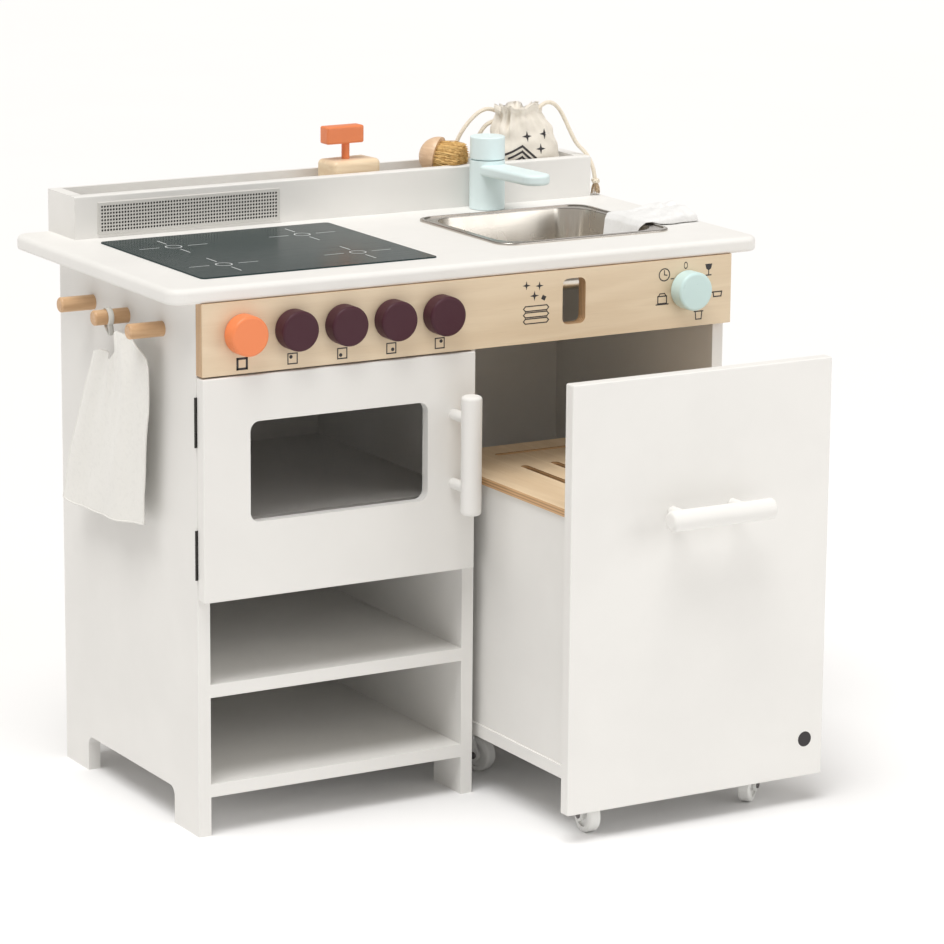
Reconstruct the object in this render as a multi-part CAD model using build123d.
"""Toy kitchen: cabinet with oven, sink and hob, and a dishwasher trolley that rolls out.

Cabinet coordinates: X to the right of the centre plane, Y back from the front edges of the
boards, Z up from the floor, millimetres. The finished part is moved so that its origin is
the middle of its overall box, on the floor.
"""
import os
from math import cos, radians, sin, tan

from build123d import *

# --- driving dimensions -------------------------------------------------------------------
BOARD = 12.0
CABINET_W = 552.0
CABINET_D = 284.0
TOP_T = 14.0
TOP_Z = 488.0
SHELF_BOTTOMS = {"bottom_shelf": 36.0, "middle_shelf": 128.5, "oven_floor": 220.0}
RACK_Z = 281.0
RACK_T = 8.0
BACK_T = 4.0
FOOT_L = 50.0
FOOT_H = 34.0

TOP_X = (-305.0, 309.0)
TOP_FRONT = -11.0
TOP_BACK = 325.0
TOP_CORNER = 14.0

PANEL_BOTTOM = 423.0
DOOR_GAP = 1.6
DOOR_RIGHT = -1.2
DOOR_Z = (219.5, 421.3)
WINDOW_X = (-230.0, -50.5)
WINDOW_Z = (288.5, 379.5)

KNOB_R = 18.1
KNOB_L = 16.4
KNOB_XS = [-236.6 + 49.7 * i for i in range(5)] + [226.2]
KNOB_Z = 458.7
KNOB_NAMES = ["knob_orange", "knob_purple_1", "knob_purple_2", "knob_purple_3", "knob_purple_4", "knob_mint_dial"]

TRAY_X = (-269.0, 291.0)
TRAY_FRONT = 264.0
TRAY_BACK = 323.0
TRAY_BACK_T = 5.0
TRAY_H = 40.0

PEG_YS = (67.0, 139.0, 211.0)
PEG_Z = 453.4
PEG_R = 7.0
PEG_L = 34.0

HANDLE_R = 9.5
HANDLE_L = 110.0
HANDLE_REACH = 32.0
POST_R = 5.0
POST_SPREAD = 64.0

SINK_X = (64.0, 252.0)
SINK_Y = (49.0, 219.0)
SINK_DEPTH = 52.0
STEEL = 1.0

FAUCET = (162.0, 246.5)
FAUCET_R = 17.2
FAUCET_BODY_TOP = 550.2
FAUCET_CAP_TOP = 573.0
SPOUT_REACH = 104.0

TROLLEY_FRONT_Y = -178.0
TROLLEY_X = (14.0, 256.0)
TROLLEY_BACK = 104.0
TROLLEY_BASE_Z = 52.0
TROLLEY_WALL_TOP = 293.0
FRONT_Z = (27.0, 419.5)

WHEEL_R = 16.5
WHEEL_W = 12.0
CASTER_TRAIL = 16.0
CASTERS = {                       # swivel x, y and the heading of the trailing wheel in degrees
    "front_left": (41.0, -134.0, 265.0),
    "front_right": (229.0, -134.0, 222.0),
    "rear_left": (41.0, 72.0, 292.0),
    "rear_right": (229.0, 72.0, 250.0),
}

AXLE_R = 2.5
RUNNING = 0.05                    # radial clearance of everything that turns
DOWEL_R = 3.0
ORIGIN = (-0.5, 52.75, 0.0)        # cabinet coordinates of the part's origin

SIDE_X = CABINET_W / 2
WORKTOP_Z = TOP_Z + TOP_T
TRAY_TOP = WORKTOP_Z + TRAY_H
DOOR_BACK = -DOOR_GAP
DOOR_FRONT = -DOOR_GAP - BOARD
HINGE_AXIS = (-SIDE_X - 1.4, -DOOR_GAP / 2)
HINGE_ZS = (261.0, 381.0)
HINGE_L = 45.0
HINGE_R = 1.1
HINGE_PIN_R = 0.6
FRONT_BACK_Y = TROLLEY_FRONT_Y + BOARD


# --- helpers ------------------------------------------------------------------------------
def block(x0, x1, y0, y1, z0, z1):
    return Pos((x0 + x1) / 2, (y0 + y1) / 2, (z0 + z1) / 2) * Box(x1 - x0, y1 - y0, z1 - z0)


def rod(start, axis, radius, length):
    """A cylinder from a start point along +X, +Y, -Y, +Z, -X or -Z."""
    turn = {"+X": Rot(0, 90, 0), "-X": Rot(0, -90, 0), "+Y": Rot(-90, 0, 0),
            "-Y": Rot(90, 0, 0), "+Z": Rot(0, 0, 0), "-Z": Rot(180, 0, 0)}[axis]
    align = (Align.CENTER, Align.CENTER, Align.MIN)
    return Pos(*start) * turn * Cylinder(radius, length, align=align)


def slab(x0, x1, y0, y1, z0, z1, corner):
    """A flat board with rounded corners in plan."""
    plan = Pos((x0 + x1) / 2, (y0 + y1) / 2) * RectangleRounded(x1 - x0, y1 - y0, corner)
    return Pos(0, 0, z0) * extrude(plan, z1 - z0)


def upright(x0, x1, z0, z1, y0, y1, corner):
    """A standing board with rounded corners in front view."""
    plane = Plane(origin=((x0 + x1) / 2, y1, (z0 + z1) / 2), x_dir=(1, 0, 0), z_dir=(0, -1, 0))
    return extrude(plane * RectangleRounded(x1 - x0, z1 - z0, corner), y1 - y0)


def group(shapes):
    return Compound([solid for shape in shapes for solid in shape.solids()])


def all_of(shapes):
    total = shapes[0]
    for shape in shapes[1:]:
        total = total + shape
    return total


# --- dowels that join the boards -----------------------------------------------------------
def dowels():
    """Every wooden dowel of the cabinet, as (start, axis, length)."""
    found = []
    for bottom in SHELF_BOTTOMS.values():
        for y in (40.0, 240.0):
            found.append(((-SIDE_X + 4, y, bottom + BOARD / 2), "+X", 24.0))
            found.append(((-BOARD / 2 + 8, y, bottom + BOARD / 2), "-X", 24.0))
    for x in (-SIDE_X + BOARD / 2, 0.0, SIDE_X - BOARD / 2):
        for y in (40.0, 240.0):
            found.append(((x, y, TOP_Z - 14), "+Z", 22.0))
        for z in (438.0, 473.0):
            found.append(((x, -8.0, z), "+Y", 22.0))
    for x in (-200.0, 10.0, 220.0):
        found.append(((x, TRAY_FRONT + BOARD / 2, TOP_Z + 4), "+Z", 24.0))
    return found


def drilled(board):
    """The board with a hole for each dowel that reaches it."""
    box = board.bounding_box()
    for start, axis, length in dowels():
        hole = rod(start, axis, DOWEL_R, length)
        reach = hole.bounding_box()
        apart = (reach.min.X >= box.max.X or reach.max.X <= box.min.X or reach.min.Y >= box.max.Y
                 or reach.max.Y <= box.min.Y or reach.min.Z >= box.max.Z or reach.max.Z <= box.min.Z)
        if not apart:
            board = board - hole
    return board


# --- cabinet ------------------------------------------------------------------------------
def end_panel(x0, depth):
    board = block(x0, x0 + BOARD, 0, depth, 0, TOP_Z)
    notch = block(x0 - 1, x0 + BOARD + 1, FOOT_L, CABINET_D - FOOT_L, -FOOT_H, FOOT_H)
    notch = fillet(notch.edges().filter_by(Axis.X).group_by(Axis.Z)[-1], 9)
    return board - notch


def side_panel(x0):
    board = drilled(end_panel(x0, CABINET_D))
    outer = board.edges().filter_by(Axis.Z).group_by(Axis.X)[0 if x0 < 0 else -1]
    corners = [e for e in outer if e.length > TOP_Z / 2]
    return chamfer(corners, 0.8)


def left_side_panel():
    panel = side_panel(-SIDE_X)
    for y in PEG_YS:
        panel = panel - rod((-SIDE_X - 1, y, PEG_Z), "+X", 4.0, 9.0)
    return panel


def centre_divider():
    return drilled(end_panel(-BOARD / 2, CABINET_D - BACK_T))


def shelf(bottom, thickness=BOARD, front=0.0):
    return drilled(block(-SIDE_X + BOARD, -BOARD / 2, front, CABINET_D - BACK_T, bottom, bottom + thickness))


def back_panel():
    return block(-SIDE_X + BOARD, SIDE_X - BOARD, CABINET_D - BACK_T, CABINET_D, 36, TOP_Z)


def worktop():
    board = slab(*TOP_X, TOP_FRONT, TOP_BACK, TOP_Z, WORKTOP_Z, TOP_CORNER)
    board = fillet(board.edges().group_by(Axis.Z)[-1], 5)
    board = fillet(board.edges().group_by(Axis.Z)[0], 3)
    board = board - slab(SINK_X[0] + 6, SINK_X[1] - 6, SINK_Y[0] + 6, SINK_Y[1] - 6, TOP_Z - 1, WORKTOP_Z + 1, 30)
    board = board - rod((*FAUCET, TOP_Z + 2), "+Z", 4.0, 20)
    return drilled(board)


def control_panel():
    board = block(-SIDE_X, SIDE_X, -BOARD, 0, PANEL_BOTTOM, TOP_Z)
    board = chamfer(board.edges().filter_by(Axis.Z).group_by(Axis.Y)[0], 0.8)
    board = board - upright(91, 115.7, 437, 479.5, -BOARD - 1, 1, 6)
    for x in KNOB_XS:
        board = board - rod((x, 1, KNOB_Z), "-Y", 3.0, BOARD + 2)
    return drilled(board)


def knob_studs():
    """One steel stud for each knob, with its head behind the panel."""
    studs = []
    for x in KNOB_XS:
        shank = rod((x, 0, KNOB_Z), "-Y", 3.0, BOARD + 10)
        studs.append(shank + rod((x, 2.5, KNOB_Z), "-Y", 5.5, 2.5))
    return group(studs)


def knob(x):
    back = -BOARD - 0.4
    body = rod((x, back, KNOB_Z), "-Y", KNOB_R, KNOB_L)
    body = fillet(body.edges().group_by(Axis.Y)[0], 2.6)
    body = fillet(body.edges().group_by(Axis.Y)[-1], 1.0)
    return body - rod((x, back + 1, KNOB_Z), "-Y", 3.0 + RUNNING, 11.2)


def hob_plate():
    plate = slab(-256, -17.5, 27, 239.5, WORKTOP_Z, WORKTOP_Z + 1.2, 5)
    return fillet(plate.edges().group_by(Axis.Z)[-1], 0.5)


def sink_basin():
    """A pressed steel bowl, with a rolled rim that lies on the worktop."""
    cx, cy = (SINK_X[0] + SINK_X[1]) / 2, (SINK_Y[0] + SINK_Y[1]) / 2
    rim_w, rim_d = SINK_X[1] - SINK_X[0], SINK_Y[1] - SINK_Y[0]
    bowl_w, bowl_d = rim_w - 18, rim_d - 18
    outer = extrude(Pos(cx, cy, WORKTOP_Z) * RectangleRounded(bowl_w, bowl_d, 28), -SINK_DEPTH, taper=8)
    outer = fillet(outer.edges().group_by(Axis.Z)[0], 13)
    inner = extrude(Pos(cx, cy, WORKTOP_Z + 2.4) * RectangleRounded(bowl_w - 2, bowl_d - 2, 27),
                    -SINK_DEPTH - 2.4 + STEEL, taper=8)
    inner = fillet(inner.edges().group_by(Axis.Z)[0], 12)
    rim = extrude(Pos(cx, cy, WORKTOP_Z) * RectangleRounded(rim_w, rim_d, 18), 2.4)
    rim = fillet(rim.edges().group_by(Axis.Z)[-1], 1.1)
    groove = extrude(Pos(cx, cy, WORKTOP_Z + 1.4) * RectangleRounded(rim_w - 7, rim_d - 7, 16), 2)
    return outer + rim - groove - inner


def faucet_dowel():
    return rod((*FAUCET, TOP_Z + 2), "+Z", 4.0, 50)


def faucet_body():
    """A round post with a flat round-ended spout that rises a little towards its tip."""
    x, y = FAUCET
    post = rod((x, y, WORKTOP_Z + 0.4), "+Z", FAUCET_R, FAUCET_BODY_TOP - WORKTOP_Z - 0.4)
    tongue = Pos(0, -SPOUT_REACH / 2) * SlotOverall(SPOUT_REACH + 28, 28, rotation=90)
    spout = extrude(tongue, 10.5)
    cut = Pos(0, 8, 5) * Box(60, 44, 30)
    spout = fillet((spout - cut).edges().filter_by(Axis.Z, reverse=True).filter_by(
        lambda e: e.center().Y < -15), 3.2)
    spout = Pos(x, y, 535.5) * Rot(-1.4, 0, 0) * Pos(0, 14, 0) * spout
    body = post + spout
    return body - rod((x, y, WORKTOP_Z - 1), "+Z", 4.0 + RUNNING, 41)


def faucet_cap():
    x, y = FAUCET
    cap = rod((x, y, FAUCET_BODY_TOP + 0.7), "+Z", FAUCET_R - 0.2, FAUCET_CAP_TOP - FAUCET_BODY_TOP - 0.7)
    return fillet(cap.edges(), 1.4)


# --- utensil tray along the back edge of the worktop -----------------------------------------
def tray_front():
    board = block(*TRAY_X, TRAY_FRONT, TRAY_FRONT + BOARD, WORKTOP_Z, TRAY_TOP)
    board = fillet(board.edges().filter_by(Axis.X).group_by(Axis.Z)[-1], 1.5)
    return drilled(board)


def tray_back():
    return block(*TRAY_X, TRAY_BACK - TRAY_BACK_T, TRAY_BACK, WORKTOP_Z, TRAY_TOP)


def tray_ends():
    y0, y1 = TRAY_FRONT + BOARD, TRAY_BACK - TRAY_BACK_T
    left = block(TRAY_X[0], TRAY_X[0] + BOARD, y0, y1, WORKTOP_Z, TRAY_TOP)
    right = block(TRAY_X[1] - BOARD, TRAY_X[1], y0, y1, WORKTOP_Z, TRAY_TOP)
    return group([left, right])


def vent_grille():
    return upright(-245.7, -56.2, 504.8, 535.3, TRAY_FRONT - 1.2, TRAY_FRONT, 1.5)


def coat_pegs():
    pegs = []
    for y in PEG_YS:
        peg = rod((-SIDE_X, y, PEG_Z), "-X", PEG_R, PEG_L)
        peg = fillet(peg.edges().group_by(Axis.X)[0], 2.0)
        pegs.append(peg + rod((-SIDE_X, y, PEG_Z), "+X", 4.0, 8.0))
    return group(pegs)


# --- oven door ------------------------------------------------------------------------------
def knuckles(z, spans, leaf, tie_y):
    """Barrel pieces of a butt hinge over the given heights, tied to their leaf."""
    x, y = HINGE_AXIS
    parts = [leaf]
    for low, high in spans:
        barrel = rod((x, y, z + low), "+Z", HINGE_R, high - low)
        tie = block(x, -SIDE_X + 1, tie_y[0], tie_y[1], z + low, z + high)
        parts.append(barrel + tie)
    bore = HINGE_PIN_R if tie_y[1] == 0 else HINGE_PIN_R + RUNNING
    return all_of(parts) - rod((x, y, z - HINGE_L), "+Z", bore, 2 * HINGE_L)


def hinge_side_leaves():
    half = HINGE_L / 2
    leaves = []
    for z in HINGE_ZS:
        leaf = block(-SIDE_X, -SIDE_X + 10, -0.6, 0, z - half, z + half)
        leaves.append(knuckles(z, [(-half, -half + 14), (half - 14, half)], leaf, (-0.6, 0)))
    return group(leaves)


def hinge_door_leaves():
    half = HINGE_L / 2
    leaves = []
    for z in HINGE_ZS:
        leaf = block(-SIDE_X, -SIDE_X + 10, DOOR_BACK, DOOR_BACK + 0.6, z - half, z + half)
        leaves.append(knuckles(z, [(-half + 14.4, half - 14.4)], leaf, (DOOR_BACK, DOOR_BACK + 0.6)))
    return group(leaves)


def hinge_pins():
    return group(rod((*HINGE_AXIS, z - HINGE_L / 2), "+Z", HINGE_PIN_R, HINGE_L) for z in HINGE_ZS)


def oven_door():
    door = upright(-SIDE_X, DOOR_RIGHT, *DOOR_Z, DOOR_FRONT, DOOR_BACK, 1.5)
    door = fillet(door.edges().group_by(Axis.Y)[0], 1.3)
    door = door - upright(*WINDOW_X, *WINDOW_Z, DOOR_FRONT - 1, DOOR_BACK + 1, 9)
    return door - pane_shape(DOOR_BACK + 1)


def pane_shape(back):
    return upright(WINDOW_X[0] - 8, WINDOW_X[1] + 8, WINDOW_Z[0] - 8, WINDOW_Z[1] + 8, DOOR_BACK - 2, back, 6)


def handle_bar(axis, centre):
    """A turned bar with rounded ends, along Z on the oven door and along X on the trolley."""
    start = [centre[0], centre[1], centre[2]]
    start["+X+Y+Z".index(axis) // 2] -= HANDLE_L / 2
    bar = rod(start, axis, HANDLE_R, HANDLE_L)
    return fillet(bar.edges().filter_by(GeomType.CIRCLE), 3.5)


def handle_posts(axis, centre, bar):
    """Two dowels from the board's face into the bar."""
    posts = []
    for side in (-1, 1):
        x = centre[0] + (side * POST_SPREAD / 2 if axis == "+X" else 0)
        z = centre[2] + (side * POST_SPREAD / 2 if axis == "+Z" else 0)
        posts.append(rod((x, centre[1] + HANDLE_REACH, z), "-Y", POST_R, HANDLE_REACH) - bar)
    return group(posts)


OVEN_HANDLE = (-23.7, DOOR_FRONT - HANDLE_REACH, 333.5)
TROLLEY_HANDLE = (138.6, TROLLEY_FRONT_Y - HANDLE_REACH, 295.0)


# --- trolley --------------------------------------------------------------------------------
def trolley_front():
    front = upright(-DOOR_RIGHT, SIDE_X, *FRONT_Z, TROLLEY_FRONT_Y, FRONT_BACK_Y, 1.5)
    front = fillet(front.edges().group_by(Axis.Y)[0], 1.3)
    return fillet(front.edges().group_by(Axis.Y)[-1], 0.6)


def trolley_base():
    base = block(*TROLLEY_X, FRONT_BACK_Y, TROLLEY_BACK, TROLLEY_BASE_Z, TROLLEY_BASE_Z + BOARD)
    return fillet(base.edges().filter_by(Axis.Z).group_by(Axis.Y)[-1], 3)


def trolley_side_walls():
    walls = []
    for x in (TROLLEY_X[0] + 2, TROLLEY_X[1] - 2 - BOARD):
        walls.append(block(x, x + BOARD, FRONT_BACK_Y, TROLLEY_BACK - 2,
                           TROLLEY_BASE_Z + BOARD, TROLLEY_WALL_TOP))
    return group(walls)


def trolley_back_wall():
    inset = 2 + BOARD
    return block(TROLLEY_X[0] + inset, TROLLEY_X[1] - inset, TROLLEY_BACK - 2 - BOARD, TROLLEY_BACK - 2,
                 TROLLEY_BASE_Z + BOARD, TROLLEY_WALL_TOP)


def dish_rack():
    """The slotted plywood board that lies on the trolley's walls."""
    z0 = TROLLEY_WALL_TOP + 0.4
    board = slab(*TROLLEY_X, FRONT_BACK_Y + 0.5, TROLLEY_BACK, z0, z0 + 7.6, 3)
    board = fillet(board.edges().group_by(Axis.Z)[-1], 1.2)
    board = board - slab(70, 200, 66, 74, z0 - 1, z0 + 9, 3.9)
    for i in range(5):
        x = 70 + 32.5 * i
        board = board - slab(x - 4, x + 4, -130, 20, z0 - 1, z0 + 9, 3.9)
    return board


# --- casters --------------------------------------------------------------------------------
def caster_plates():
    plates = []
    for x, y, _ in CASTERS.values():
        plate = slab(x - 18, x + 18, y - 18, y + 18, TROLLEY_BASE_Z - 2.5, TROLLEY_BASE_Z, 4)
        plates.append(plate + rod((x, y, TROLLEY_BASE_Z - 2), "-Z", 3.0, 6.5))
    return group(plates)


def caster_wheel_centre(name):
    x, y, heading = CASTERS[name]
    return (x + CASTER_TRAIL * cos(radians(heading)), y + CASTER_TRAIL * sin(radians(heading)), WHEEL_R)


def caster_yoke(name):
    """A moulded yoke on the swivel pin, with the wheel's axle as its second solid."""
    x, y, heading = CASTERS[name]
    head_top = TROLLEY_BASE_Z - 3.0
    head = rod((0, 0, head_top - 5), "+Z", 13, 5)
    side = Plane.XZ * make_hull([*(Pos(0, head_top - 4) * Rectangle(24, 2)).edges(),
                                 *(Pos(CASTER_TRAIL, WHEEL_R) * Circle(6)).edges()])
    cheeks = [Pos(0, s * 7.9, 0) * extrude(side, 1.25, both=True) for s in (-1, 1)]
    yoke = all_of([head, *cheeks]) - rod((0, 0, 30), "+Z", 3.0 + RUNNING, 30)
    axle = rod((CASTER_TRAIL, -9.6, WHEEL_R), "+Y", AXLE_R, 19.2)
    place = Pos(x, y, 0) * Rot(0, 0, heading)
    return group([place * (yoke - axle), place * axle])


def caster_wheel(name):
    wheel = rod((0, -WHEEL_W / 2, 0), "+Y", WHEEL_R, WHEEL_W)
    wheel = fillet(wheel.edges(), 2.5)
    for start, axis in (((0, -WHEEL_W / 2 - 1, 0), "+Y"), ((0, WHEEL_W / 2 + 1, 0), "-Y")):
        wheel = wheel - (rod(start, axis, 11.5, 3.2) - rod(start, axis, 5.0, 3.2))
    wheel = wheel - rod((0, -WHEEL_W, 0), "+Y", AXLE_R + RUNNING, 2 * WHEEL_W)
    return Pos(*caster_wheel_centre(name)) * Rot(0, 0, CASTERS[name][2]) * wheel


# --- accessories ----------------------------------------------------------------------------
def towel():
    """The towel's outer shape, with the loop that hangs on the middle peg."""
    outline = [(118, 441), (66, 426), (54, 400), (58, 360), (62, 282), (120, 270), (180, 267),
               (232, 270), (214, 312), (190, 360), (155, 412), (134, 436)]
    plane = Plane(origin=(-303, 0, 0), x_dir=(0, 1, 0), z_dir=(1, 0, 0))
    cloth = extrude(plane * make_face(Polyline(*outline, close=True)), 14)
    loop = rod((-292, PEG_YS[1], PEG_Z - 1), "-X", 10.5, 5) - rod((-291, PEG_YS[1], PEG_Z - 1), "-X", 8.6, 7)
    neck = block(-297, -292, 126, 134, 430, 444.2)
    return cloth + loop + neck


def storage_bag():
    low = Pos(235, 296.5, WORKTOP_Z + 0.4) * RectangleRounded(76, 36, 12)
    middle = Pos(232, 296.5, WORKTOP_Z + 54) * RectangleRounded(68, 36, 12)
    high = Pos(226, 296.5, WORKTOP_Z + 91) * RectangleRounded(42, 30, 12)
    return loft([low, middle, high])


CORD_D = 4.0
CORDS = {
    "bag_cord_left": [(208, 303, 586), (198, 304, 591), (187, 305, 588), (177, 306, 580), (168, 307, 569),
                      (162, 308.5, 557), (163, 310, 545), (172, 310.5, 539), (182, 310, 545),
                      (185, 308, 557), (189, 306, 568), (197, 304, 577), (208, 302, 579)],
    "bag_cord_right": [(243, 291, 586), (250, 291, 593), (260, 290.5, 595), (269, 290, 588.5), (275, 288, 577),
                       (279.5, 284, 564), (285, 281, 552), (293, 276, 543.5), (297.5, 272, 533),
                       (299, 269, 522), (299.5, 268, 512)],
}


def cord(points):
    """A tube on straight runs and tangent arcs through the cord's points."""
    vectors = [Vector(*p) for p in points]
    radii = []
    for before, here, after in zip(vectors, vectors[1:], vectors[2:]):
        turn = radians((here - before).get_angle(after - here))
        shorter = min((here - before).length, (after - here).length)
        radii.append(0.45 * shorter / tan(turn / 2))
    path = FilletPolyline(*points, radius=radii)
    print("cord radii", [round(r, 1) for r in radii], "length", round(path.length, 1))
    section = Plane(origin=path @ 0, z_dir=path % 0) * Circle(CORD_D / 2)
    return sweep(section, path=path)


BRUSH = Pos(136.5, 297, 547.5) * Rot(0, 14, -48)


def brush_head():
    """The wooden half dome of a round brush that leans over the tray's front wall."""
    return BRUSH * (Sphere(19.5) - Pos(20, 0, 0) * Box(40, 60, 60))


def brush_bristles():
    """The tuft's outer shape, pressed in where it lies on the tray's front wall."""
    tuft = rod((0, 0, 0), "+X", 18.0, 29)
    tuft = BRUSH * fillet(tuft.edges().group_by(Axis.X)[-1], 5)
    return tuft - block(100, 200, 255, TRAY_FRONT + BOARD + 0.4, 500, TRAY_TOP + 0.4)


SOAP_X, SOAP_Y = 38.5, 297.0
SOAP_TOP = 553.0
SOAP_TURN = Pos(SOAP_X, SOAP_Y) * Rot(0, 0, 6)


def soap_bottle():
    bottle = slab(-29, 25, -16.5, 16.5, WORKTOP_Z + 0.4, SOAP_TOP, 5)
    shoulders = bottle.edges().filter_by(Axis.Y).group_by(Axis.Z)[-1]
    bottle = fillet(shoulders, 5)
    return SOAP_TURN * (bottle - rod((-6, 0, SOAP_TOP - 14), "+Z", 3.9, 20))


def soap_pump():
    stem = rod((-6, 0, SOAP_TOP - 14), "+Z", 3.9, 14 + 17)
    head = Pos(-10, 0, SOAP_TOP + 24) * Rot(0, 0, -4) * Box(41, 15, 17)
    return SOAP_TURN * (stem + fillet(head.edges(), 2.0))


def dish_cloth():
    """A folded cloth on the worktop, over the sink's rim and down inside the bowl."""
    flat = block(254.5, 299, 74, 142, WORKTOP_Z + 0.4, WORKTOP_Z + 13)
    over = block(232, 256, 74, 156, WORKTOP_Z + 3, WORKTOP_Z + 12)
    inside = block(228, 234, 82, 154, WORKTOP_Z - 24, WORKTOP_Z + 12)
    return flat + over + inside


# --- every node -----------------------------------------------------------------------------
def make_nodes():
    oven_bar = handle_bar("+Z", OVEN_HANDLE)
    trolley_bar = handle_bar("+X", TROLLEY_HANDLE)
    nodes = {
        "left_side_panel": left_side_panel(),
        "right_side_panel": side_panel(SIDE_X - BOARD),
        "centre_divider": centre_divider(),
        "back_panel": back_panel(),
        "oven_rack": shelf(RACK_Z, RACK_T, 4.0),
        "worktop": worktop(),
        "control_panel": control_panel(),
        "wood_dowels": group(rod(*d[:2], DOWEL_R, d[2]) for d in dowels()),
        "hob_plate": hob_plate(),
        "sink_basin": sink_basin(),
        "tray_front": tray_front(),
        "tray_back": tray_back(),
        "tray_ends": tray_ends(),
        "vent_grille": vent_grille(),
        "coat_pegs": coat_pegs(),
        "knob_studs": knob_studs(),
        "faucet_dowel": faucet_dowel(),
        "faucet_body": faucet_body(),
        "faucet_cap": faucet_cap(),
        "hinge_side_leaves": hinge_side_leaves(),
        "hinge_pins": hinge_pins(),
        "hinge_door_leaves": hinge_door_leaves(),
        "oven_door": oven_door(),
        "window_pane": pane_shape(DOOR_BACK),
        "oven_handle_bar": oven_bar,
        "oven_handle_posts": handle_posts("+Z", OVEN_HANDLE, oven_bar),
        "trolley_front": trolley_front(),
        "trolley_base": trolley_base(),
        "trolley_side_walls": trolley_side_walls(),
        "trolley_back_wall": trolley_back_wall(),
        "trolley_handle_bar": trolley_bar,
        "trolley_handle_posts": handle_posts("+X", TROLLEY_HANDLE, trolley_bar),
        "dish_rack": dish_rack(),
        "caster_plates": caster_plates(),
        "towel": towel(),
        "storage_bag": storage_bag(),
        "brush_head": brush_head(),
        "brush_bristles": brush_bristles(),
        "soap_bottle": soap_bottle(),
        "soap_pump": soap_pump(),
        "dish_cloth": dish_cloth(),
    }
    for name, bottom in SHELF_BOTTOMS.items():
        nodes[name] = shelf(bottom)
    for name, x in zip(KNOB_NAMES, KNOB_XS):
        nodes[name] = knob(x)
    for name in CASTERS:
        nodes["caster_yoke_" + name] = caster_yoke(name)
        nodes["caster_wheel_" + name] = caster_wheel(name)
    for name, points in CORDS.items():
        nodes[name] = cord(points)
    return nodes


os.makedirs("parts", exist_ok=True)
to_origin = Pos(*(-c for c in ORIGIN))
for node, shape in make_nodes().items():
    export_step(to_origin * shape, "parts/" + node + ".step")
